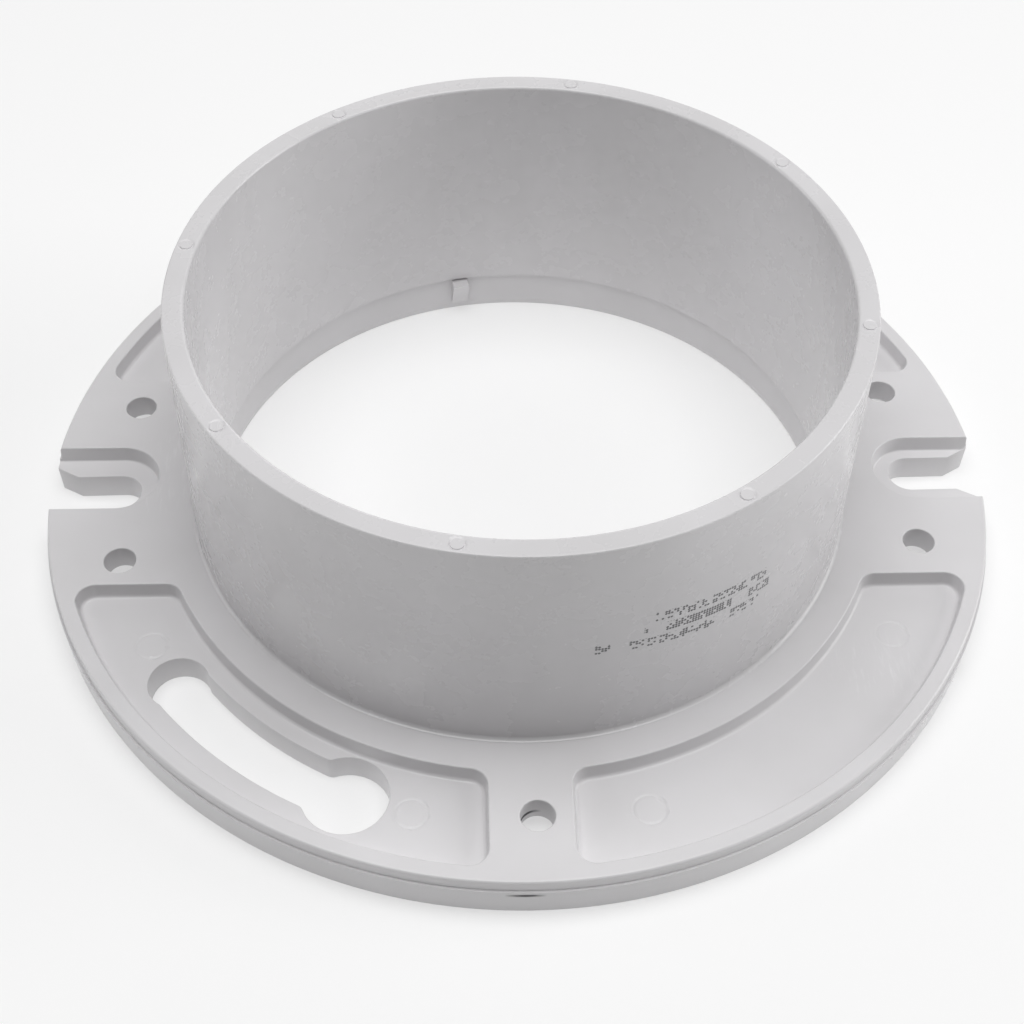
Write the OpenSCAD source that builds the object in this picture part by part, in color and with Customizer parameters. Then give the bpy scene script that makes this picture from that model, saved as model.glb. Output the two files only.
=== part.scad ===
// Closet flange for a 4 inch soil pipe: a flat bolting plate and a pipe hub.
// The plate lies on its flat closet face at z = 0 and the hub points up.
// The open bolt slots lie along X. Millimetres, origin at the centre of the closet face.

// Piece to draw, or all of them

/* [Plate] */
// Largest diameter, over the step of the rim
plate_diameter = 178.0; // [172:0.5:215]
// Thickness from the closet face to the hub side face
plate_thickness = 8.6; // [7.5:0.1:14]
// Depth of the rim step below the hub side face
rim_step_drop = 2.4; // [1:0.1:4]
// How far the lower part of the rim stands out past the upper part
rim_step_out = 0.4; // [0.1:0.05:1.5]
// Inward draft of the lower rim, down to the closet face
rim_draft = 0.25; // [0:0.05:1]
// Radius on the edge of the hub side face
rim_edge = 0.5; // [0.2:0.1:0.9]
// Bevel on the rim at the closet face
rim_bevel = 0.3; // [0.1:0.1:0.8]
// How much wider the opening of the plate is than the hub bore, all round
opening_relief = 0.55; // [0.55:0.05:1.5]
// Depth of the flare of the opening at the closet face
mouth_depth = 1.3; // [0.5:0.1:3]
// Radial width of that flare
mouth_width = 0.3; // [0.1:0.1:3]

/* [Hub] */
// Socket bore, a solvent fit on a 114.3 pipe
hub_bore = 114.7; // [88:0.1:117]
// Wall at the open end
hub_wall = 3.8; // [3.2:0.1:4.6]
// Height above the plate
hub_height = 47.3; // [20:0.1:90]
// Growth of the outside radius from the open end to the plate
hub_draft = 0.25; // [0:0.05:1]
// Fillet at the foot of the hub
foot_fillet = 0.8; // [0.3:0.1:1.5]
// Lead-in bevel for the pipe
lead_in = 0.6; // [0.2:0.1:1.2]
// Bevel on the outer edge of the open end
lip_bevel = 0.3; // [0.1:0.1:0.8]

/* [Pipe stops] */
// Number of wedge stops round the bore
stop_count = 3; // [2:1:8]
// Width of a stop
stop_width = 3.3; // [1.5:0.1:8]
// How far the top of a stop stands into the bore
stop_reach = 2.1; // [1:0.1:4]
// How far the top of a stop lies below the hub
stop_drop = 0.6; // [0.3:0.1:2]
// Bearing of the first stop
stop_angle = 100; // [0:1:180]

/* [Screw holes] */
// Circle that the screws and the closet bolts share
bolt_circle = 152.4; // [148:0.1:156]
// Screw hole diameter
screw_hole = 5.8; // [4:0.1:7]
// Countersink diameter at the closet face
sink_diameter = 13.2; // [9:0.1:15]
// Included angle of the countersink
sink_angle = 90; // [80:1:120]
// Bearing of the four corner holes from the slots
screw_angle = 15; // [13:0.5:16]

/* [Bolt slots] */
// Width of the open slots
slot_width = 8.2; // [6.5:0.1:9.5]
// Width of the recess round a slot, at the hub side face
recess_width = 15.5; // [12:0.1:17]
// Depth of that recess
recess_depth = 3.05; // [1.5:0.05:4]
// Draft of the recess wall over its depth
recess_draft = 0.45; // [0.1:0.05:1]
// Fillet at the recess floor
recess_fillet = 0.4; // [0.2:0.1:1]
// Radial length of the flare at the slot mouth
flare_length = 4.4; // [1:0.1:8]
// Width that the flare adds on each side at the rim
flare_width = 2.6; // [0.5:0.1:4]

/* [Keyholes] */
// Width of the curved slot
key_slot_width = 9.9; // [6:0.1:10]
// Diameter of the round end
key_end_diameter = 10.6; // [10.2:0.1:11.5]
// Diameter of the entry hole for the bolt head
key_entry_diameter = 14.8; // [12:0.1:15]
// Corner radius where the slot runs into the entry hole
key_corner = 1.5; // [0.6:0.1:2.5]
// Bearing of the round end
key_end_angle = 216.6; // [210:0.1:222]
// Bearing of the entry hole
key_entry_angle = 245.5; // [236:0.1:248]

/* [Pockets] */
// Depth of the moulded pockets in the hub side face
pocket_depth = 3.05; // [1.5:0.05:4]
// Wall left between the pockets and the rim
rim_wall = 2.9; // [2:0.1:6]
// Land left between the hub and the pockets
hub_land = 6.3; // [3:0.1:10]
// Width of the land that carries a side slot and its two screws
side_land = 52.8; // [46:0.1:60]
// Width of the boss round the front and back screws
boss_width = 14.1; // [11:0.1:20]
// Corner radius of a pocket at the face
pocket_corner = 3.2; // [2.6:0.1:6]
// Draft of the pocket wall over its depth
pocket_draft = 0.3; // [0.1:0.05:0.6]
// Fillet at the pocket floor
pocket_fillet = 0.7; // [0.4:0.05:1.3]

/* [Mould] */
// Turn of the hub side mould half against the other one
pattern_turn = -0.75; // [-2:0.05:2]
// Number of ejector marks on the open end of the hub
pin_count = 8; // [4:1:12]
// Bearing of the first mark
pin_angle = 33; // [0:1:45]
// Diameter of a mark
pin_diameter = 2.8; // [1.5:0.1:3]
// Depth of a mark
pin_depth = 0.12; // [0.05:0.01:0.3]

/* [Hidden] */
$fn = 160;
pvc = [0.86, 0.86, 0.85];
// How far a cutting shape runs past the face it cuts
past = 1;
// How far joined shapes run into each other
bite = 0.8;
rim_r = plate_diameter / 2;
upper_r = rim_r - rim_step_out;
step_z = plate_thickness - rim_step_drop;
bore_r = hub_bore / 2;
opening_r = bore_r + opening_relief;
stop_z = plate_thickness - stop_drop;
lip_r = bore_r + hub_wall;
foot_r = lip_r + hub_draft;
bolt_r = bolt_circle / 2;
screw_r = screw_hole / 2;
sink_r = sink_diameter / 2;
slot_r = slot_width / 2;
recess_r = recess_width / 2;
pocket_in = foot_r + hub_land;
pocket_out = upper_r - rim_wall;
boss_half = boss_width / 2;
side_half = side_land / 2;
// Steps round the fillet at a pocket floor, along a corner and along a long wall
fillet_steps = 4;
corner_steps = 6;
long_steps = 16;

// ---- pipe hub ----

module hub_profile() {
    polygon([
        [bore_r, 0],
        [foot_r, 0],
        [foot_r, foot_fillet],
        [lip_r, hub_height - lip_bevel],
        [lip_r - lip_bevel, hub_height],
        [bore_r + lead_in, hub_height],
        [bore_r, hub_height - lead_in],
    ]);
    difference() {
        translate([foot_r - bite, 0]) square([foot_fillet + bite, foot_fillet]);
        translate([foot_r + foot_fillet, foot_fillet]) circle(foot_fillet);
    }
}

module pipe_hub() {
    mark_r = (bore_r + lead_in + lip_r - lip_bevel) / 2;
    color(pvc) translate([0, 0, plate_thickness]) difference() {
        rotate_extrude() hub_profile();
        for (i = [0 : pin_count - 1])
            rotate(pin_angle + i * 360 / pin_count)
                translate([mark_r, 0, hub_height - pin_depth])
                    cylinder(d = pin_diameter, h = past, $fn = 32);
    }
}

// ---- flange plate ----

module plate_profile() {
    difference() {
        polygon([
            [opening_r + mouth_width, 0],
            [rim_r - rim_draft - rim_bevel, 0],
            [rim_r - rim_draft, rim_bevel],
            [rim_r, step_z],
            [upper_r, step_z],
            [upper_r, plate_thickness],
            [opening_r, plate_thickness],
            [opening_r, mouth_depth],
        ]);
        difference() {
            translate([upper_r - rim_edge, plate_thickness - rim_edge]) square(rim_edge + past);
            translate([upper_r - rim_edge, plate_thickness - rim_edge]) circle(rim_edge);
        }
    }
}

// Wedge with a flat top just below the hub, running out at the flared mouth
module pipe_stop() {
    rotate([90, 0, 0]) linear_extrude(stop_width, center = true) polygon([
        [bore_r - stop_reach, stop_z],
        [opening_r + bite, stop_z],
        [opening_r + bite, mouth_depth],
        [opening_r, mouth_depth],
    ]);
}

module screw_hole_cut() {
    sink_depth = (sink_r - screw_r) / tan(sink_angle / 2);
    slope = tan(sink_angle / 2);
    translate([0, 0, -past]) cylinder(r = screw_r, h = plate_thickness + 2 * past);
    translate([0, 0, -past]) cylinder(r1 = sink_r + past * slope, r2 = screw_r, h = sink_depth + past);
}

module screw_holes() {
    corners = [screw_angle, 180 - screw_angle, 180 + screw_angle, -screw_angle];
    for (a = concat(corners, [90, 270]))
        rotate(a) translate([bolt_r, 0, 0]) screw_hole_cut();
}

// Slot through the plate, open at the rim, with its mouth flared below the recess
module bolt_slot() {
    run = rim_r - bolt_r + past;
    flare_start = rim_r - flare_length;
    spread = flare_width / flare_length;
    flare_end = slot_r + (flare_length + past) * spread;
    translate([0, 0, -past]) linear_extrude(plate_thickness + 2 * past) {
        translate([bolt_r, 0]) circle(slot_r);
        translate([bolt_r, -slot_r]) square([run, slot_width]);
    }
    translate([0, 0, -past]) linear_extrude(plate_thickness - recess_depth + past) polygon([
        [flare_start, -slot_r],
        [rim_r + past, -flare_end],
        [rim_r + past, flare_end],
        [flare_start, slot_r],
    ]);
}

// Half section of the recess, from its middle to its drafted wall
module recess_section() {
    slope = recess_draft / recess_depth;
    floor_r = recess_r - recess_draft;
    translate([0, plate_thickness - recess_depth]) {
        polygon([
            [0, 0],
            [floor_r - recess_fillet, 0],
            [floor_r - recess_fillet, recess_fillet],
            [floor_r, recess_fillet],
            [recess_r + past * slope, recess_depth + past],
            [0, recess_depth + past],
        ]);
        translate([floor_r - recess_fillet, recess_fillet]) circle(recess_fillet, $fn = 48);
    }
}

module slot_recess() {
    translate([bolt_r, 0, 0]) {
        rotate_extrude() recess_section();
        rotate([90, 0, 90]) linear_extrude(rim_r - bolt_r + past) {
            recess_section();
            mirror([1, 0]) recess_section();
        }
    }
}

// Rounds the corner where the slot meets the entry hole, at the rim with side 1, at the hub with -1
module keyhole_corner(side) {
    corner_r = bolt_r + side * (key_slot_width / 2 + key_corner);
    reach = key_entry_diameter / 2 + key_corner;
    turn = acos((corner_r * corner_r + bolt_r * bolt_r - reach * reach) / (2 * corner_r * bolt_r));
    centre = corner_r * [cos(turn), -sin(turn)];
    inside = bolt_r * [cos(turn), -sin(turn)];
    first = side > 0 ? 180 - turn : -turn;
    last = bearing([bolt_r, 0] - centre);
    trim = (last - first) / 8;
    linear_extrude(plate_thickness + 2 * past)
        polygon(concat([inside], arc(centre, key_corner, first + trim, last - trim, corner_steps)));
}

// Curved keyhole: entry hole, curved slot and round end on the bolt circle
module keyhole() {
    sweep = key_entry_angle - key_end_angle;
    translate([0, 0, -past]) {
        rotate(key_entry_angle) {
            translate([bolt_r, 0, 0]) cylinder(d = key_entry_diameter, h = plate_thickness + 2 * past);
            for (side = [-1, 1]) keyhole_corner(side);
        }
        rotate(key_end_angle) translate([bolt_r, 0, 0])
            cylinder(d = key_end_diameter, h = plate_thickness + 2 * past);
        rotate(key_end_angle) rotate_extrude(angle = sweep)
            translate([bolt_r - key_slot_width / 2, 0])
                square([key_slot_width, plate_thickness + 2 * past]);
    }
}

// ---- moulded pockets ----
// A pocket is bounded by two arcs about the axis and two straight walls, joined by corner arcs.
// Its outline shrinks with depth, first along the draft and then round the fillet at the floor,
// about fixed corner centres, and the solid is lofted through those outlines.

// Corner centres: side wall and rim, boss and rim, boss and hub, side wall and hub
far = pocket_out - pocket_corner;
near = pocket_in + pocket_corner;
side_y = side_half + pocket_corner;
boss_x = boss_half + pocket_corner;
side_rim = [sqrt(far * far - side_y * side_y), side_y];
boss_rim = [boss_x, sqrt(far * far - boss_x * boss_x)];
boss_hub = [boss_x, sqrt(near * near - boss_x * boss_x)];
side_hub = [sqrt(near * near - side_y * side_y), side_y];

function bearing(p) = atan2(p[1], p[0]);
function arc(c, r, a, b, n) = [for (i = [0 : n]) c + r * [cos(a + (b - a) * i / n), sin(a + (b - a) * i / n)]];

// Outline of a pocket moved inward by an inset, anticlockwise
function pocket_outline(inset) = let (
    r = pocket_corner - inset,
    a = bearing(side_rim),
    b = bearing(boss_rim),
    c = bearing(boss_hub),
    d = bearing(side_hub)
) concat(
    arc(side_rim, r, -90, a, corner_steps),
    arc([0, 0], pocket_out - inset, a, b, long_steps),
    arc(boss_rim, r, b, 180, corner_steps),
    arc(boss_hub, r, 180, 180 + c, corner_steps),
    arc([0, 0], pocket_in + inset, c, d, long_steps),
    arc(side_hub, r, 180 + d, 270, corner_steps)
);

// Levels of the wall from past the face to the floor, as inset and height above the floor
pocket_levels = concat(
    [[-past * pocket_draft / pocket_depth, pocket_depth + past]],
    [for (i = [0 : fillet_steps]) let (t = i * 90 / fillet_steps)
        [pocket_draft + pocket_fillet * (1 - cos(t)), pocket_fillet * (1 - sin(t))]]
);

module pocket() {
    rings = [for (level = pocket_levels) [for (p = pocket_outline(level[0])) [p[0], p[1], level[1]]]];
    n = len(rings[0]);
    m = len(rings);
    // The ends are closed by strips from the rim side of the outline to the hub side
    strips = [for (i = [0 : n / 2 - 2]) [i, i + 1, n - 2 - i, n - 1 - i]];
    translate([0, 0, plate_thickness - pocket_depth]) polyhedron(
        points = [for (ring = rings) each ring],
        faces = concat(
            [for (s = strips) [s[3], s[2], s[1], s[0]]],
            [for (j = [0 : m - 2], i = [0 : n - 1]) let (k = (i + 1) % n)
                [j * n + i, j * n + k, (j + 1) * n + k, (j + 1) * n + i]],
            [for (s = strips) [for (i = s) (m - 1) * n + i]]
        )
    );
}

module pockets() {
    for (i = [0, 1], j = [0, 1])
        mirror([i, 0]) mirror([0, j]) pocket();
}

module flange_plate() {
    color(pvc) difference() {
        union() {
            rotate_extrude() plate_profile();
            for (i = [0 : stop_count - 1])
                rotate(stop_angle + i * 360 / stop_count) pipe_stop();
        }
        screw_holes();
        for (a = [0, 180]) {
            rotate(a) bolt_slot();
            rotate(a) keyhole();
            rotate(a + pattern_turn) slot_recess();
        }
        rotate(pattern_turn) pockets();
    }
}

flange_plate();
pipe_hub();
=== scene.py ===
import math

import bpy
import bmesh
from mathutils import Matrix, Vector


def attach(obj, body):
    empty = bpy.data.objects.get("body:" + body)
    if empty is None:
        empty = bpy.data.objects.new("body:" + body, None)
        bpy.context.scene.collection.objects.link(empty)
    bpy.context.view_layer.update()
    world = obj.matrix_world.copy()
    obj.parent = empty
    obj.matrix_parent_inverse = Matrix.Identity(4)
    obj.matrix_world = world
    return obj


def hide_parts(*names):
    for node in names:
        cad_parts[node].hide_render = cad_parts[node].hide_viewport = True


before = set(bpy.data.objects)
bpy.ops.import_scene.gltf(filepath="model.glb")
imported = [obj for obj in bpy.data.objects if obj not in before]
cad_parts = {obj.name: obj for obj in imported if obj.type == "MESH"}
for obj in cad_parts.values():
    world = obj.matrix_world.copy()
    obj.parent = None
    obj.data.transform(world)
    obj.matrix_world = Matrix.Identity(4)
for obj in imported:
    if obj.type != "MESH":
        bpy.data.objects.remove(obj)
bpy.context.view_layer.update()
scene = bpy.context.scene
mm = 0.001
print("frame loaded")


# ---- camera ----

cameraView = {
    "place": (-0.0127067, -0.2263876, 0.2527889),
    "turn": (41.5511, -0.5664, -2.3227),
    "lens": 61.123, "sensor": 36.0,
    "near": 0.01, "far": 20.0,
}


def makeCamera(view):
    data = bpy.data.cameras.new("camera")
    data.sensor_width = view["sensor"]
    data.lens = view["lens"]
    data.clip_start, data.clip_end = view["near"], view["far"]
    camera = bpy.data.objects.new("camera", data)
    camera.location = view["place"]
    camera.rotation_euler = [math.radians(a) for a in view["turn"]]
    scene.collection.objects.link(camera)
    scene.camera = camera


makeCamera(cameraView)
print("camera placed")


# ---- shader maths ----

class Val:
    # a socket that takes part in ordinary arithmetic
    def __init__(self, tree, socket):
        self.tree = tree
        self.socket = socket

    def math(self, kind, *others, clamp=False):
        node = self.tree.nodes.new("ShaderNodeMath")
        node.operation = kind
        node.use_clamp = clamp
        for i, v in enumerate((self,) + others):
            feed(self.tree, node.inputs[i], v)
        return Val(self.tree, node.outputs[0])

    def __add__(self, o): return self.math("ADD", o)
    def __radd__(self, o): return self.math("ADD", o)
    def __sub__(self, o): return self.math("SUBTRACT", o)
    def __rsub__(self, o): return self.math("MULTIPLY_ADD", -1.0, o)
    def __mul__(self, o): return self.math("MULTIPLY", o)
    def __rmul__(self, o): return self.math("MULTIPLY", o)
    def __truediv__(self, o): return self.math("DIVIDE", o)
    def __gt__(self, o): return self.math("GREATER_THAN", o)
    def __lt__(self, o): return self.math("LESS_THAN", o)
    def __abs__(self): return self.math("ABSOLUTE")

    def clamp(self):
        return self.math("ADD", 0.0, clamp=True)


def feed(tree, socket, value):
    if isinstance(value, Val):
        tree.links.new(value.socket, socket)
    elif value is not None:
        socket.default_value = value


class Nodes:
    # adds nodes to one tree: type, settings, then values or links for the inputs, which are
    # given by name with _ for a space, or by number as i0, i1 and so on
    def __init__(self, tree):
        self.tree = tree

    def raw(self, kind, settings=None, **sockets):
        made = self.tree.nodes.new(kind)
        for key, value in (settings or {}).items():
            setattr(made, key, value)
        for key, value in sockets.items():
            at = int(key[1:]) if key[0] == "i" and key[1:].isdigit() else key.replace("_", " ")
            feed(self.tree, made.inputs[at], value)
        return made

    def node(self, kind, settings=None, out=0, **sockets):
        return Val(self.tree, self.raw(kind, settings, **sockets).outputs[out])

    def split(self, vector):
        made = self.raw("ShaderNodeSeparateXYZ", i0=vector)
        return [Val(self.tree, made.outputs[i]) for i in range(3)]


class Shader(Nodes):
    # builds one material's nodes
    def __init__(self, name):
        self.material = bpy.data.materials.new(name)
        self.material.use_nodes = True
        super().__init__(self.material.node_tree)
        self.surface = self.tree.nodes["Principled BSDF"]

    def mixColour(self, factor, a, b):
        return self.node("ShaderNodeMix", {"data_type": "RGBA"}, out=2, i0=factor, i6=a, i7=b)

    def place(self):
        # object coordinates, in metres
        return self.node("ShaderNodeTexCoord", out=3)

    def stretched(self, vector, scale, turn=0):
        # scaled, after a turn about the axis by so many degrees
        turn = (0, 0, math.radians(turn))
        return self.node("ShaderNodeMapping", Vector=vector, Scale=scale, Rotation=turn)

    def noise(self, vector, scale, detail=3.0, rough=0.5):
        return self.node("ShaderNodeTexNoise", Vector=vector, Scale=scale, Detail=detail,
                         Roughness=rough)

    def bearing(self, x, y):
        # degrees about the axis
        return y.math("ARCTAN2", x) * (180 / math.pi)

    def blob(self, vector, centre, size):
        # 1 at a place on the piece, falling to 0 at the given half sizes
        def vectorMath(kind, a, b=None, out=0):
            return self.node("ShaderNodeVectorMath", {"operation": kind}, out=out, i0=a, i1=b)

        off = vectorMath("SUBTRACT", vector, [c * mm for c in centre])
        off = vectorMath("DIVIDE", off, [c * mm for c in size])
        return (1 - vectorMath("LENGTH", off, out=1)).clamp()

    def set(self, name, value):
        feed(self.tree, self.surface.inputs[name], value)


# ---- materials ----

plastic = {
    "colour": (0.70, 0.69, 0.702, 1.0), "shade": (0.64, 0.63, 0.638, 1.0), "ior": 1.53,
    "cloudScale": 26.0, "cloudShare": 0.6, "flowScale": (60.0, 60.0, 14.0), "flowShare": 0.4,
    "shadeFrom": 0.35, "shadeSharp": 2.6,
    "plateGloss": 0.34, "hubGloss": 0.27, "glossScale": 140.0, "glossSpread": 0.16,
    "grain": 0.10, "grainHeight": 0.00025, "grainScale": 420.0, "grainShare": 0.7,
    "fineScale": 2400.0, "fineShare": 0.3,
}
scuff = {
    "colour": (0.86, 0.86, 0.87, 1.0), "stretch": (1500.0, 260.0, 500.0), "from": 0.54, "sharp": 6,
    "share": 0.35, "rough": 0.25, "raised": 0.4,
}
speck = {"colour": (0.30, 0.29, 0.28, 1.0), "scale": 90.0, "radius": 0.16, "above": 0.985, "share": 0.55}
# colour of the printed code, also used for the painted gap shade on the plate's rim
inkAndGapShade = {"colour": (0.035, 0.035, 0.04, 1.0), "rough": 0.2}
# worn places: centre, half sizes, and the way the streaks run
plateWear = [
    ((-65.0, 6.0, 8.6), (9.0, 9.0, 4.0), 75),
    ((-68.0, -3.0, 8.6), (8.0, 7.0, 4.0), 20),
    ((66.0, 12.0, 8.6), (8.0, 8.0, 4.0), 110),
    ((-60.0, -50.0, 8.6), (14.0, 10.0, 5.0), 35),
    ((62.0, -46.0, 6.0), (12.0, 9.0, 6.0), 140),
]
hubWear = [
    ((-57.0, -22.0, 44.0), (9.0, 9.0, 12.0), 80),
    ((-50.0, -34.0, 52.0), (12.0, 12.0, 6.0), 60),
    ((58.0, -18.0, 40.0), (8.0, 10.0, 14.0), 95),
]
# painted shade of a gap, drawn as a dark streak just under the step of the rim
rimGapShade = {
    "bearing": -91.6, "spread": 2.2, "height": 5.3, "tall": 0.5,
    "ragged": (500.0, 500.0, 3000.0), "least": 0.35, "strength": 2.6,
}
codeMark = {
    "radius": 61.25, "outside": 60.0, "from": -84.0, "slope": -0.085, "tall": 2.2,
    "cell": 0.52, "dot": 0.20, "word": 6, "gap": 0.16, "strength": 0.88,
}
codeLines = [  # height, first and last bearing, seed, and the share of dots left out
    {"low": 30.9, "start": -84.0, "end": -51.0, "seed": 4.0, "bare": 0.52},
    {"low": 33.9, "start": -73.6, "end": -50.5, "seed": 5.0, "bare": 0.30},
    {"low": 36.9, "start": -72.0, "end": -51.5, "seed": 6.0, "bare": 0.52},
]
gapSeed = 9.0


def wearMask(s, p, places):
    # short pale streaks inside each worn place
    total = None
    for centre, size, turn in places:
        streak = s.noise(s.stretched(p, scuff["stretch"], turn), 1.0, 4.0, 0.6)
        part = ((streak - scuff["from"]) * scuff["sharp"]).clamp() * s.blob(p, centre, size)
        total = part if total is None else total.math("MAXIMUM", part)
    return total


def speckMask(s, p):
    # a few small dark specks
    cells = s.raw("ShaderNodeTexVoronoi", {"feature": "F1"}, Vector=p, Scale=speck["scale"])
    near = Val(s.tree, cells.outputs["Distance"])
    chance = s.split(Val(s.tree, cells.outputs["Color"]))[0]
    return (near < speck["radius"]) * (chance > speck["above"])


def gapShadeMask(s, p):
    # painted shade of a gap: a thin dark streak on the lower rim, just under the step
    x, y, z = s.split(p)
    side = (1 - abs((s.bearing(x, y) - rimGapShade["bearing"]) / rimGapShade["spread"])).clamp()
    tall = (1 - abs((z - rimGapShade["height"] * mm) / (rimGapShade["tall"] * mm))).clamp()
    ragged = s.noise(s.stretched(p, rimGapShade["ragged"]), 1.0, 3.0, 0.7)
    return (side * tall * (ragged + rimGapShade["least"]) * rimGapShade["strength"]).clamp()


def codeMask(s, p):
    # rows of plain ink dots, as a marking jet leaves them
    x, y, z = s.split(p)
    bearing = s.bearing(x, y)
    cell = codeMark["cell"]
    along = bearing * (codeMark["radius"] * math.pi / 180) / cell
    total = None
    for i, line in enumerate(codeLines):
        up = z / mm - line["low"] + (bearing - codeMark["from"]) * -codeMark["slope"]
        column, row = along.math("FLOOR"), (up / cell).math("FLOOR")
        spot = s.node("ShaderNodeCombineXYZ", i0=column, i1=row, i2=line["seed"])
        lit = s.node("ShaderNodeTexWhiteNoise", {"noise_dimensions": "3D"}, Vector=spot)
        word = s.node("ShaderNodeCombineXYZ", i0=(column / codeMark["word"]).math("FLOOR"), i1=i + gapSeed)
        full = s.node("ShaderNodeTexWhiteNoise", {"noise_dimensions": "2D"}, Vector=word)
        across = abs(along.math("FRACT") - 0.5)
        high = abs((up / cell).math("FRACT") - 0.5)
        dot = (across * across + high * high) < codeMark["dot"]
        band = (up > 0.0) * (up < codeMark["tall"])
        ends = (bearing > line["start"]) * (bearing < line["end"])
        part = dot * band * ends * (lit > line["bare"]) * (full > codeMark["gap"])
        total = part if total is None else total.math("MAXIMUM", part)
    outside = (x * x + y * y) > (codeMark["outside"] * mm) ** 2
    return total * outside * codeMark["strength"]


def whitePlastic(name, look, gloss, wear, marks):
    s = Shader(name)
    p = s.place()
    cloud = s.noise(p, look["cloudScale"], 3.0, 0.55)
    flow = s.noise(s.stretched(p, look["flowScale"]), 1.0, 2.0)
    mottle = cloud * look["cloudShare"] + flow * look["flowShare"] - look["shadeFrom"]
    colour = s.mixColour((mottle * look["shadeSharp"]).clamp(), look["colour"], look["shade"])
    worn = wearMask(s, p, wear)
    colour = s.mixColour(worn * scuff["share"], colour, scuff["colour"])
    colour = s.mixColour(speckMask(s, p) * speck["share"], colour, speck["colour"])
    # ink print on the hub; on the plate, painted shade of a gap on the rim
    mark = marks(s, p)
    colour = s.mixColour(mark, colour, inkAndGapShade["colour"])
    uneven = look["glossSpread"] * (s.noise(p, look["glossScale"], 4.0, 0.6) - 0.5)
    rough = gloss + uneven + worn * scuff["rough"] + mark * inkAndGapShade["rough"]
    skin = s.noise(p, look["grainScale"], 2.0) * look["grainShare"]
    skin = skin + s.noise(p, look["fineScale"], 2.0) * look["fineShare"] + worn * scuff["raised"]
    s.set("Base Color", colour)
    s.set("Roughness", rough.clamp())
    bump = s.node("ShaderNodeBump", Strength=look["grain"], Distance=look["grainHeight"], Height=skin)
    s.set("Normal", bump)
    s.set("IOR", look["ior"])
    return s.material


# the plate carries the painted gap shade on its rim, the hub its printed code
pvcPlate = whitePlastic("pvcPlate", plastic, plastic["plateGloss"], plateWear, gapShadeMask)
pvcHub = whitePlastic("pvcHub", plastic, plastic["hubGloss"], hubWear, codeMask)
print("materials made")


# ---- solids ----

past = 1.0  # how far a cutter reaches past a face
joint = 2e-6  # points nearer than this are one, in metres
sharpEdge = 38  # degrees
faceWeight = 60  # how much large faces set the shading of their edges


def meshObject(name, points, faces, edges=()):
    data = bpy.data.meshes.new(name)
    data.from_pydata([Vector(p) * mm for p in points], edges, faces)
    obj = bpy.data.objects.new(name, data)
    scene.collection.objects.link(obj)
    if faces:
        setOutward(data)
    return obj


def setOutward(data):
    bm = bmesh.new()
    bm.from_mesh(data)
    bmesh.ops.remove_doubles(bm, verts=bm.verts, dist=1e-7)
    bmesh.ops.recalc_face_normals(bm, faces=bm.faces)
    if bm.calc_volume(signed=True) < 0:
        bmesh.ops.reverse_faces(bm, faces=bm.faces)
    bm.to_mesh(data)
    bm.free()


def newTree(name, inputs):
    # a geometry tree whose first input is the object's own mesh
    tree = bpy.data.node_groups.new(name, "GeometryNodeTree")
    face = tree.interface
    face.new_socket("Geometry", in_out="INPUT", socket_type="NodeSocketGeometry")
    for label, kind in inputs:
        face.new_socket(label, in_out="INPUT", socket_type="NodeSocket" + kind)
    face.new_socket("Geometry", in_out="OUTPUT", socket_type="NodeSocketGeometry")
    g = Nodes(tree)
    source = g.raw("NodeGroupInput")
    ins = {o.name: Val(tree, o) for o in source.outputs if o.name}
    return g, ins


def closeTree(g, shape, material):
    whole = g.node("GeometryNodeRealizeInstances", Geometry=shape)
    g.raw("NodeGroupOutput", i0=g.node("GeometryNodeSetMaterial", Geometry=whole, Material=material))
    return g.tree


def turnedTree():
    # turns a section of (radius, height) points about the axis
    g, ins = newTree("turnedBody", [("Steps", "Int"), ("Material", "Material")])
    count = g.node("GeometryNodeAttributeDomainSize", Geometry=ins["Geometry"])
    sheet = g.node("GeometryNodeMeshGrid", Vertices_X=ins["Steps"] + 1, Vertices_Y=count + 1)
    index = g.node("GeometryNodeInputIndex")
    ring = (index / (count + 1)).math("FLOOR")
    along = (index - ring * (count + 1)).math("MODULO", count)
    point = g.node("GeometryNodeSampleIndex", {"data_type": "FLOAT_VECTOR"}, Geometry=ins["Geometry"],
                   Value=g.node("GeometryNodeInputPosition"), Index=along)
    spun = g.node("ShaderNodeVectorRotate", {"rotation_type": "Z_AXIS"}, Vector=point,
                  Angle=ring * (2 * math.pi) / ins["Steps"])
    wrapped = g.node("GeometryNodeSetPosition", Geometry=sheet, Position=spun)
    closed = g.node("GeometryNodeMergeByDistance", Geometry=wrapped, Distance=joint)
    return closeTree(g, closed, ins["Material"])


def ringTree():
    # copies of a piece spaced evenly round the axis
    g, ins = newTree("ringOfCopies", [("Count", "Int"), ("Bearing", "Float"), ("Material", "Material")])
    spots = g.node("GeometryNodePoints", Count=ins["Count"])
    index = g.node("GeometryNodeInputIndex")
    angle = ins["Bearing"] * (math.pi / 180) + index * (2 * math.pi) / ins["Count"]
    turn = g.node("ShaderNodeCombineXYZ", i2=angle)
    copies = g.node("GeometryNodeInstanceOnPoints", Points=spots, Instance=ins["Geometry"], Rotation=turn)
    return closeTree(g, copies, ins["Material"])


# how the blades of torn flash vary: lean in radians, shift along the edge's height in metres
bladeLook = {"lean": ((-0.5, 0.6, -0.5), (0.5, 1.7, 0.5)), "shift": 0.00012, "smallest": 0.35}


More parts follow.
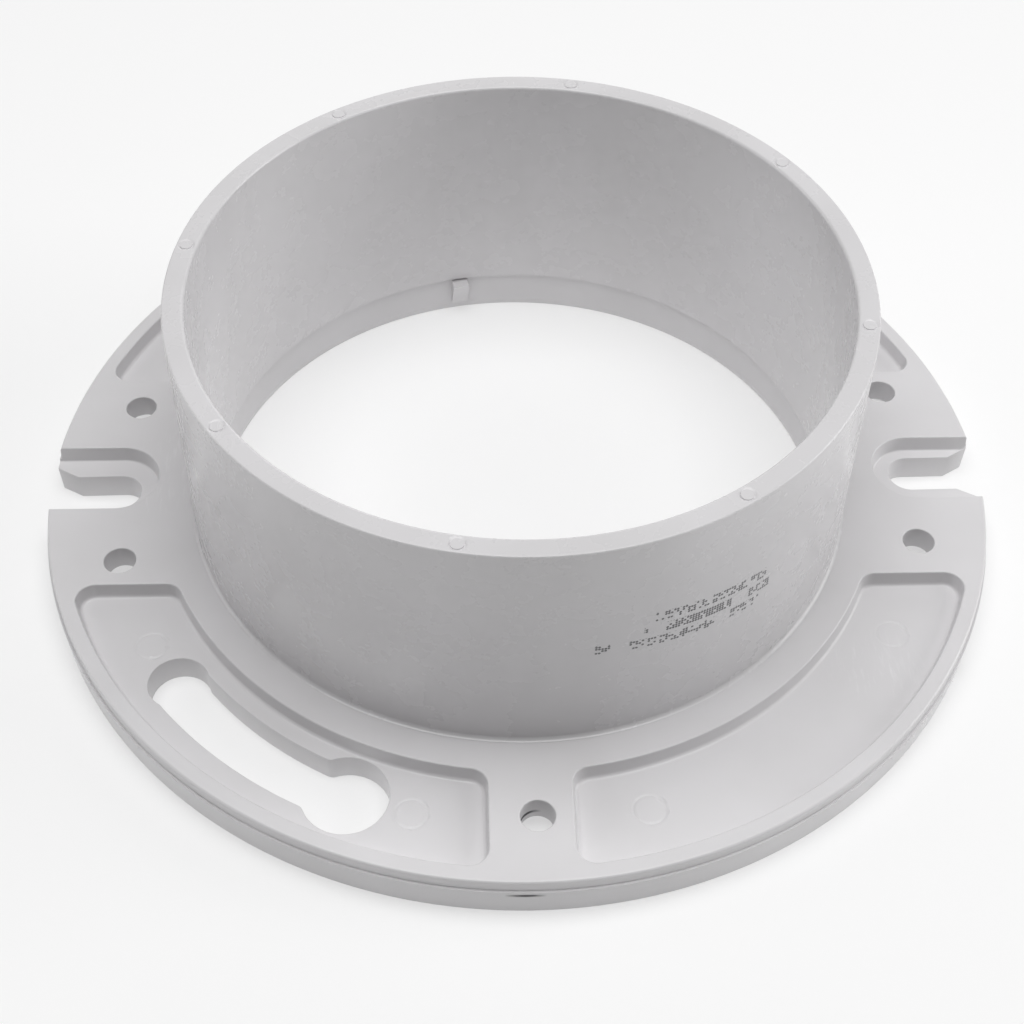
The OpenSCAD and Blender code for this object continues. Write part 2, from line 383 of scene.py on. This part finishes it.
def burrTree():
    # small torn blades standing out along an arc of an edge, from a fixed seed
    g, ins = newTree("edgeBurrs", [
        ("Count", "Int"), ("From", "Float"), ("To", "Float"), ("Radius", "Float"), ("Height", "Float"),
        ("Size", "Float"), ("Seed", "Int"), ("Material", "Material"),
    ])
    spots = g.node("GeometryNodePoints", Count=ins["Count"])

    def chance(low, high, ident):
        # a random number or vector for each blade, between two limits
        vector = isinstance(low, tuple)
        kind, first, out = ("FLOAT_VECTOR", 0, 0) if vector else ("FLOAT", 2, 1)
        made = g.raw("FunctionNodeRandomValue", {"data_type": kind}, Seed=ins["Seed"])
        feed(g.tree, made.inputs[first], low)
        feed(g.tree, made.inputs[first + 1], high)
        feed(g.tree, made.inputs["ID"], g.node("GeometryNodeInputIndex") * 7 + ident)
        return Val(g.tree, made.outputs[out])

    angle = (ins["From"] + (ins["To"] - ins["From"]) * chance(0.0, 1.0, 1)) * (math.pi / 180)
    lift = ins["Height"] + chance(-bladeLook["shift"], bladeLook["shift"], 2)
    start = g.node("ShaderNodeCombineXYZ", i0=ins["Radius"], i2=lift)
    where = g.node("ShaderNodeVectorRotate", {"rotation_type": "Z_AXIS"}, Vector=start, Angle=angle)
    placed = g.node("GeometryNodeSetPosition", Geometry=spots, Position=where)
    lean = chance(*bladeLook["lean"], 3)
    outward = g.node("ShaderNodeCombineXYZ", i2=angle)
    turn = g.node("ShaderNodeVectorMath", {"operation": "ADD"}, i0=lean, i1=outward)
    size = ins["Size"] * chance(bladeLook["smallest"], 1.0, 4)
    copies = g.node("GeometryNodeInstanceOnPoints", Points=placed, Instance=ins["Geometry"],
                    Rotation=turn, Scale=size)
    return closeTree(g, copies, ins["Material"])


trees = {"turned": turnedTree(), "ring": ringTree(), "burr": burrTree()}


def grow(obj, tree, **values):
    # runs a tree on the piece's own mesh and keeps the result as a plain mesh
    mod = obj.modifiers.new("shape", "NODES")
    mod.node_group = trees[tree]
    names = {i.name: i.identifier for i in trees[tree].interface.items_tree if i.in_out == "INPUT"}
    for key, value in values.items():
        mod[names[key]] = value
    bpy.context.view_layer.update()
    done = bpy.data.meshes.new_from_object(obj.evaluated_get(bpy.context.evaluated_depsgraph_get()))
    obj.modifiers.remove(mod)
    obj.data = done
    setOutward(done)
    return obj


def turnedBody(name, section, steps, material):
    points = [(r, 0, z) for r, z in section]
    line = meshObject(name, points, [], [(i, i + 1) for i in range(len(points) - 1)])
    return grow(line, "turned", Steps=steps, Material=material)


def ringOf(piece, count, bearing, material):
    return grow(piece, "ring", Count=count, Bearing=float(bearing), Material=material)


def loft(name, rings):
    # rings of equal length, closed with one face at each end
    n = len(rings[0])
    points = [p for ring in rings for p in ring]
    faces = [tuple(range(n)), tuple(range(len(points) - n, len(points)))]
    for j in range(len(rings) - 1):
        for i in range(n):
            k = (i + 1) % n
            faces.append((j * n + i, j * n + k, (j + 1) * n + k, (j + 1) * n + i))
    return meshObject(name, points, faces)


def mirrored(obj, x, y):
    copy = obj.copy()
    copy.data = obj.data.copy()
    scene.collection.objects.link(copy)
    copy.data.transform(Matrix.Diagonal((x, y, 1, 1)))
    setOutward(copy.data)
    return copy


def combine(obj, others, kind):
    for other in others:
        mod = obj.modifiers.new("cut", "BOOLEAN")
        mod.operation = kind
        mod.solver = "MANIFOLD"
        mod.object = other
    bpy.context.view_layer.update()
    done = bpy.data.meshes.new_from_object(obj.evaluated_get(bpy.context.evaluated_depsgraph_get()))
    obj.modifiers.clear()
    obj.data = done
    for other in others:
        bpy.data.objects.remove(other)
    return obj


def arcPoints(x, y, r, a, b, n):
    # n + 1 points round an arc from angle a to angle b
    return [(x + r * math.cos(math.radians(a + (b - a) * i / n)),
             y + r * math.sin(math.radians(a + (b - a) * i / n))) for i in range(n + 1)]


def grown(outline, d):
    # moves an anticlockwise outline outward by d, with mitred corners
    out, n = [], len(outline)
    for i in range(n):
        ax, ay = outline[i - 1]
        bx, by = outline[i]
        cx, cy = outline[(i + 1) % n]
        u = Vector((by - ay, ax - bx)).normalized()
        v = Vector((cy - by, bx - cx)).normalized()
        m = u + v
        m = m / max(m.length_squared, 0.5) * 2
        out.append((bx + m.x * d, by + m.y * d))
    return out


def finish(obj, material, node=None):
    # smooth where the surface turns gently, crisp at real edges
    obj.data.materials.clear()
    obj.data.materials.append(material)
    for p in obj.data.polygons:
        p.use_smooth = True
        p.material_index = 0
    obj.data.set_sharp_from_angle(angle=math.radians(sharpEdge))
    mod = obj.modifiers.new("normals", "WEIGHTED_NORMAL")
    mod.keep_sharp = True
    mod.weight = faceWeight
    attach(obj, "root")
    if node:
        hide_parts(node)


# ---- flange plate ----

plate = {
    "radius": 89.0, "thickness": 8.6, "boltCircle": 76.2, "patternTurn": -0.75, "steps": 288,
    "stepDrop": 2.4, "stepOut": 0.4, "stepRound": 0.06, "stepHollow": 0.04, "draft": 0.25,
    "topEdge": 0.5, "edge": 0.25, "bore": 57.9,
    "mouthDepth": 1.3, "mouthWidth": 0.3, "mouthEdge": 0.15, "mouthRise": 0.3, "mouthEase": 0.08,
}


def plateBody(p):
    top, out, up = p["thickness"], p["radius"], p["radius"] - p["stepOut"]
    stepZ, e, t = top - p["stepDrop"], p["edge"], p["topEdge"]
    bottom, bore, mouth = out - p["draft"], p["bore"], p["bore"] + p["mouthWidth"]
    convex, hollow = p["stepRound"], p["stepHollow"]
    section = [(mouth + p["mouthEdge"], 0), (bottom - e, 0)]
    section += arcPoints(bottom - e, e, e, -90, 0, 4)[1:]
    section += arcPoints(out - convex, stepZ - convex, convex, 0, 90, 3)
    section += arcPoints(up + hollow, stepZ + hollow, hollow, 270, 180, 3)
    section += arcPoints(up - t, top - t, t, 0, 90, 6)
    section += [(bore, top), (bore, p["mouthDepth"] + p["mouthRise"])]
    section += [(bore + p["mouthEase"], p["mouthDepth"]), (mouth, p["mouthEdge"])]
    return turnedBody("flangePlate", section, p["steps"], pvcPlate)


def edgeLevels(top, floor, draft, fillet, edge):
    # (inset, height) from past the face, over a rounded edge, down the wall and round to the floor
    levels = [(-edge, top + past), (-edge, top)]
    levels += [(-edge + edge * math.sin(math.radians(t)), top - edge + edge * math.cos(math.radians(t)))
               for t in (22.5, 45, 67.5, 90)]
    levels += [(draft + fillet * (1 - math.cos(math.radians(t))),
                floor + fillet * (1 - math.sin(math.radians(t)))) for t in (0, 18, 36, 54, 72, 90)]
    return levels


def roundedThrough(top, e):
    # (outset, height) down through a hole whose two edges are rounded
    down = [(e - e * math.sin(math.radians(t)), top - e + e * math.cos(math.radians(t)))
            for t in (30, 60, 90)]
    out = [(e - e * math.cos(math.radians(t)), e - e * math.sin(math.radians(t)))
           for t in (0, 30, 60, 90)]
    return [(e, top + past), (e, top)] + down + out + [(e, -past)]


def joined(name, pieces):
    # one object from several separate solids
    bm = bmesh.new()
    for piece in pieces:
        bm.from_mesh(piece.data)
        bpy.data.objects.remove(piece)
    data = bpy.data.meshes.new(name)
    bm.to_mesh(data)
    bm.free()
    obj = bpy.data.objects.new(name, data)
    scene.collection.objects.link(obj)
    return obj


# ---- pockets in the hub side ----

pocket = {
    "depth": 3.05, "rimWall": 2.9, "hubWall": 67.7, "side": 26.4, "boss": 7.05, "corner": 3.2,
    "draft": 0.3, "fillet": 0.7, "edge": 0.3, "cornerSteps": 10, "wallSteps": 48,
}
ejectorRings = {
    "bearings": (30, 75, 105, 150), "radius": 2.75, "width": 1.0, "depth": 0.17, "flat": 0.3,
    "above": 0.2, "steps": 40,
}


def pocketOutline(k, p, inset):
    f, turn, run = k["corner"], k["cornerSteps"], k["wallSteps"]
    far, near = p["radius"] - p["stepOut"] - k["rimWall"] - f, k["hubWall"] + f
    sy, bx = k["side"] + f, k["boss"] + f
    sideRim, bossRim = (math.sqrt(far ** 2 - sy ** 2), sy), (bx, math.sqrt(far ** 2 - bx ** 2))
    bossHub, sideHub = (bx, math.sqrt(near ** 2 - bx ** 2)), (math.sqrt(near ** 2 - sy ** 2), sy)
    a, b, c, d = [math.degrees(math.atan2(q[1], q[0])) for q in (sideRim, bossRim, bossHub, sideHub)]
    r = f - inset
    return (arcPoints(*sideRim, r, -90, a, turn) + arcPoints(0, 0, far + f - inset, a, b, run)
            + arcPoints(*bossRim, r, b, 180, turn) + arcPoints(*bossHub, r, 180, 180 + c, turn)
            + arcPoints(0, 0, near - f + inset, c, d, run) + arcPoints(*sideHub, r, 180 + d, 270, turn))


def pocketCutters(k, p):
    top = p["thickness"]
    levels = edgeLevels(top, top - k["depth"], k["draft"], k["fillet"], k["edge"])
    first = loft("pocketCut", [[(x, y, z) for x, y in pocketOutline(k, p, i)] for i, z in levels])
    pair = joined("pocketPair", [first, mirrored(first, -1, 1)])
    return [ringOf(pair, 2, p["patternTurn"], pvcPlate)]


def ejectorRingCutters(e, k, p):
    # faint round marks that the ejector pins left in the pocket floors
    floor, r, w = p["thickness"] - k["depth"], e["radius"], e["width"] / 2
    high, low, flat = floor + e["above"], floor - e["depth"], w * e["flat"]
    section = [(r - w, high), (r - w, floor), (r - flat, low), (r + flat, low), (r + w, floor), (r + w, high)]
    made = []
    for bearing in e["bearings"]:
        a = math.radians(bearing)
        ring = turnedBody("ejectorRing", section, e["steps"], pvcPlate)
        ring.data.transform(Matrix.Translation(Vector((math.cos(a), math.sin(a), 0)) * p["boltCircle"] * mm))
        made.append(ringOf(ring, 2, p["patternTurn"], pvcPlate))
    return made


# ---- slots open to the rim ----

slots = {
    "half": 4.1, "recess": 7.75, "recessDepth": 3.05, "recessDraft": 0.45, "fillet": 0.4, "edge": 0.3,
    "holeEdge": 0.2, "flareLength": 4.4, "flareWidth": 2.6, "overrun": 3, "steps": 32,
}


def slotCutters(s, p):
    top, end, x, half = p["thickness"], p["radius"] + s["overrun"], p["boltCircle"], s["half"]
    floor = top - s["recessDepth"]

    def roundEnd(r):
        return arcPoints(x, 0, r, 90, 270, s["steps"])

    levels = edgeLevels(top, floor, s["recessDraft"], s["fillet"], s["edge"])
    recess = []
    for inset, z in levels:
        r = s["recess"] - inset
        recess.append([(a, b, z) for a, b in roundEnd(r) + [(end, -r), (end, r)]])
    start = p["radius"] - s["flareLength"]
    wide = half + (end - start) * (s["flareWidth"] / s["flareLength"])
    outline = roundEnd(half) + [(start, -half), (end, -wide), (end, wide), (start, half)]
    slot = [[(a, b, z) for a, b in grown(outline, d)] for d, z in roundedThrough(floor, s["holeEdge"])]
    return [ringOf(loft("recessCut", recess), 2, p["patternTurn"], pvcPlate),
            ringOf(loft("slotCut", slot), 2, 0, pvcPlate)]


# ---- keyhole slots along the bolt circle ----

keyhole = {
    "half": 4.95, "end": 5.3, "entry": 7.4, "endBearing": 216.6, "entryBearing": 245.5, "corner": 1.5,
    "edge": 0.2, "endSteps": 32, "entrySteps": 48, "sideSteps": 30, "cornerSteps": 6,
}


def meetAngle(rho, centre, r):
    # angle at the axis between a circle's centre and where it meets a circle about the axis
    return math.degrees(math.acos((rho ** 2 + centre ** 2 - r ** 2) / (2 * rho * centre)))


def polar(r, a):
    return r * math.cos(math.radians(a)), r * math.sin(math.radians(a))


def bearingFrom(centre, q):
    return math.degrees(math.atan2(q[1] - centre[1], q[0] - centre[0])) % 360


def arcBetween(centre, r, q1, q2, way, n):
    # an arc about a centre from one point's bearing to another's, anticlockwise for way 1
    a, b = bearingFrom(centre, q1), bearingFrom(centre, q2)
    return arcPoints(*centre, r, a, a + way * ((way * (b - a)) % 360), n)


def keyholeOutline(k, p):
    c, f = p["boltCircle"], k["corner"]
    inner, outer = c - k["half"], c + k["half"]
    entry, end = polar(c, k["entryBearing"]), polar(c, k["endBearing"])
    # where the rounded corners beside the entry start, on the rim side and on the hub side
    rimCorner = k["entryBearing"] - meetAngle(outer + f, c, k["entry"] + f)
    hubCorner = k["entryBearing"] - meetAngle(inner - f, c, k["entry"] + f)
    rimCentre, hubCentre = polar(outer + f, rimCorner), polar(inner - f, hubCorner)
    rimEnd = k["endBearing"] + meetAngle(outer, c, k["end"])
    hubEnd = k["endBearing"] + meetAngle(inner, c, k["end"])
    side, turn = k["sideSteps"], k["cornerSteps"]
    outline = arcPoints(0, 0, outer, rimEnd, rimCorner, side)[:-1]
    outline += arcBetween(rimCentre, f, polar(outer, rimCorner), entry, -1, turn)
    outline += arcBetween(entry, k["entry"], rimCentre, hubCentre, 1, k["entrySteps"])[1:-1]
    outline += arcBetween(hubCentre, f, entry, polar(inner, hubCorner), -1, turn)
    outline += arcPoints(0, 0, inner, hubCorner, hubEnd, side)[1:-1]
    outline += arcBetween(end, k["end"], polar(inner, hubEnd), polar(outer, rimEnd), 1, k["endSteps"])[:-1]
    return outline


def keyholeCutters(k, p, floor):
    outline = keyholeOutline(k, p)
    levels = roundedThrough(floor, k["edge"])
    levels[0] = (k["edge"], p["thickness"] + past)
    cut = loft("keyholeCut", [[(a, b, z) for a, b in grown(outline, d)] for d, z in levels])
    return [ringOf(cut, 2, 0, pvcPlate)]


# ---- screw holes and pipe stops ----

screws = {"bearings": (15, 165, 90), "hole": 2.9, "sink": 6.6, "edge": 0.25, "rim": 0.1, "steps": 48}
stops = {
    "count": 3, "bearing": 100, "width": 3.3, "reach": 2.1, "drop": 0.6, "relief": 0.55,
    "bevel": 0.2, "nose": 0.06, "root": 1.5,
}


def screwCutters(s, p):
    # three holes, each copied to the opposite side
    top, e, hole, sink, rim = p["thickness"], s["edge"], s["hole"], s["sink"], s["rim"]
    wide = hole + e
    section = [(0, top + past), (wide, top + past), (wide, top)]
    section += [(wide - e * math.sin(math.radians(t)), top - e + e * math.cos(math.radians(t)))
                for t in (30, 60, 90)]
    section += [(hole, sink - hole), (sink - rim, rim), (sink + rim, 0), (sink + rim, -past), (0, -past)]
    made = []
    for bearing in s["bearings"]:
        cut = turnedBody("screwCut", section, s["steps"], pvcPlate)
        cut.data.transform(Matrix.Translation((p["boltCircle"] * mm, 0, 0)))
        made.append(ringOf(cut, 2, bearing, pvcPlate))
    return made


def stopWedges(s, p):
    w, top, b = s["width"] / 2, p["thickness"] - s["drop"], p["bore"]
    tip, low = b - s["relief"] - s["reach"], p["mouthDepth"] + p["mouthRise"]
    e, nose, root = s["bevel"], s["nose"], b + s["root"]
    side = [(tip, top - e), (tip + nose, top - nose), (tip + e, top), (root, top), (root, low), (b, low)]
    wedge = loft("pipeStop", [[(r, y, z) for r, z in side] for y in (-w, w)])
    return [ringOf(wedge, s["count"], s["bearing"], pvcPlate)]


flangePlate = plateBody(plate)
combine(flangePlate, stopWedges(stops, plate), "UNION")
cutters = pocketCutters(pocket, plate) + slotCutters(slots, plate)
cutters += keyholeCutters(keyhole, plate, plate["thickness"] - pocket["depth"]) + screwCutters(screws, plate)
cutters += ejectorRingCutters(ejectorRings, pocket, plate)
combine(flangePlate, cutters, "DIFFERENCE")
finish(flangePlate, pvcPlate, "flange_plate")
print("flange plate made")


# ---- pipe hub ----

hub = {
    "bore": 57.35, "wall": 3.8, "height": 47.3, "draft": 0.25, "foot": 0.8, "leadIn": 0.6, "lip": 0.3,
    "seam": 0.05, "seamIn": 0.12, "seamOut": 0.04, "footStart": 264, "steps": 288, "seat": 8.6,
}
pins = {
    "count": 8, "bearing": 33.2, "circle": 59.35, "radius": 1.1, "depth": 0.2, "slack": 0.02,
    "dish": ((0.55, 0.0), (0.25, 0.6), (0.06, 1.0), (0.0, 0.8)), "steps": 36,
}


def hubBody(h):
    z0, z1 = h["seat"], h["seat"] + h["height"]
    lip, foot = h["bore"] + h["wall"], h["bore"] + h["wall"] + h["draft"]
    f = h["foot"]
    seam = h["seam"]  # a hairline at the foot and in the bore, where the hub meets the plate
    section = [(h["bore"] + seam, z0), (foot + f - h["seamIn"], z0), (foot + f - h["seamOut"], z0 + seam)]
    section += arcPoints(foot + f, z0 + f + seam, f, h["footStart"], 180, 8)
    section += arcPoints(lip - h["lip"], z1 - h["lip"], h["lip"], 0, 90, 5)
    section += arcPoints(h["bore"] + h["leadIn"], z1 - h["leadIn"], h["leadIn"], 90, 180, 7)
    section += [(h["bore"], z0 + seam)]
    return turnedBody("pipeHub", section, h["steps"], pvcHub)


def pinCutters(k, h):
    # round pads level with the face, each in a shallow dished ring
    top = h["seat"] + h["height"]
    inner, outer = k["radius"] - k["slack"], k["radius"] + k["dish"][0][0]
    section = [(inner, top + past), (outer, top + past)]
    section += [(k["radius"] + out, top - k["depth"] * share) for out, share in k["dish"]]
    section += [(inner, top)]
    cut = turnedBody("pinCut", section, k["steps"], pvcHub)
    cut.data.transform(Matrix.Translation((k["circle"] * mm, 0, 0)))
    return [ringOf(cut, k["count"], k["bearing"], pvcHub)]


pipeHub = hubBody(hub)
combine(pipeHub, pinCutters(pins, hub), "DIFFERENCE")
finish(pipeHub, pvcHub, "pipe_hub")
print("pipe hub made")


# ---- torn flash on the edges ----

burrs = {
    "rimFlash": {
        "From": -50.0, "To": -31.0, "Radius": 0.08870, "Height": 0.0059,
        "Count": 70, "Size": 1.7, "Seed": 3,
    },
    "rimFlashLeft": {
        "From": -148.0, "To": -138.0, "Radius": 0.08868, "Height": 0.0059,
        "Count": 26, "Size": 1.0, "Seed": 8,
    },
    "markBurr": {
        "From": -148.6, "To": -142.4, "Radius": 0.06095, "Height": 0.0554,
        "Count": 40, "Size": 0.6, "Seed": 5,
    },
}
blade = [  # from the root to the tip
    [(-0.2, -0.09, 0), (0, -0.14, 0.03), (0.2, -0.05, 0), (0.1, 0.12, -0.03)],
    [(0.25, -0.05, 0.02), (0.45, -0.08, 0.05), (0.5, 0.0, 0.02), (0.35, 0.06, 0)],
    [(0.62, -0.01, 0.05), (0.66, -0.015, 0.06), (0.66, 0.01, 0.05), (0.62, 0.01, 0.045)],
]

for name, values in burrs.items():
    finish(grow(loft(name, blade), "burr", Material=pvcPlate, **values), pvcPlate)
print("edge flash made")


# ---- stage and light ----

studio = {
    "floor": (0.52, 0.52, 0.52, 1.0), "floorShade": (0.48, 0.48, 0.48, 1.0), "shadeShare": 0.05,
    "cloud": 3.0, "half": 1500, "rough": 0.8, "glow": 0.42, "backdrop": 0.86, "sky": 0.04,
    "white": (1.0, 1.0, 1.0, 1.0),
}
softboxes = {
    "overhead": {"place": (0.0, -0.05, 1.0), "aim": (0, 0, 0), "size": (0.95, 0.8), "power": 8.8},
    "left": {"place": (-0.9, 0.2, 0.35), "aim": (0, 0, 0.02), "size": (0.5, 0.5), "power": 1.6},
    "right": {"place": (0.9, 0.05, 0.35), "aim": (0, 0, 0.02), "size": (0.5, 0.6), "power": 4.0},
    "behind": {"place": (0.0, 0.9, 0.35), "aim": (0, 0, 0.02), "size": (0.6, 0.4), "power": 1.1},
}


def makeFloor(look):
    # a light table: part of the floor's brightness is its own, which keeps the shadows pale
    s = Shader("paleFloor")
    cloud = s.noise(s.place(), look["cloud"], 1.0)
    s.set("Base Color", s.mixColour(cloud * look["shadeShare"], look["floor"], look["floorShade"]))
    s.set("Emission Color", look["white"])
    s.set("Emission Strength", look["glow"])
    s.set("Roughness", look["rough"])
    h = look["half"]
    floor = meshObject("floor", [(-h, -h, 0), (h, -h, 0), (h, h, 0), (-h, h, 0)], [(0, 1, 2, 3)])
    floor.data.materials.append(s.material)


def makeSky(look):
    # the backdrop looks pale but lights the piece only a little
    world = bpy.data.worlds.new("studio")
    world.use_nodes = True
    w = Nodes(world.node_tree)
    seen = w.node("ShaderNodeLightPath")
    sky = w.tree.nodes["Background"]
    feed(w.tree, sky.inputs["Color"], look["white"])
    feed(w.tree, sky.inputs["Strength"], seen * (look["backdrop"] - look["sky"]) + look["sky"])
    scene.world = world


def softbox(name, box):
    data = bpy.data.lights.new(name, "AREA")
    data.shape = "RECTANGLE"
    data.size, data.size_y = box["size"]
    data.energy = box["power"]
    lamp = bpy.data.objects.new(name, data)
    lamp.location = box["place"]
    lamp.rotation_euler = (Vector(box["aim"]) - Vector(box["place"])).to_track_quat("-Z", "Y").to_euler()
    scene.collection.objects.link(lamp)


makeFloor(studio)
makeSky(studio)
for name, box in softboxes.items():
    softbox(name, box)
scene.view_settings.view_transform = "Standard"
print("studio lit")
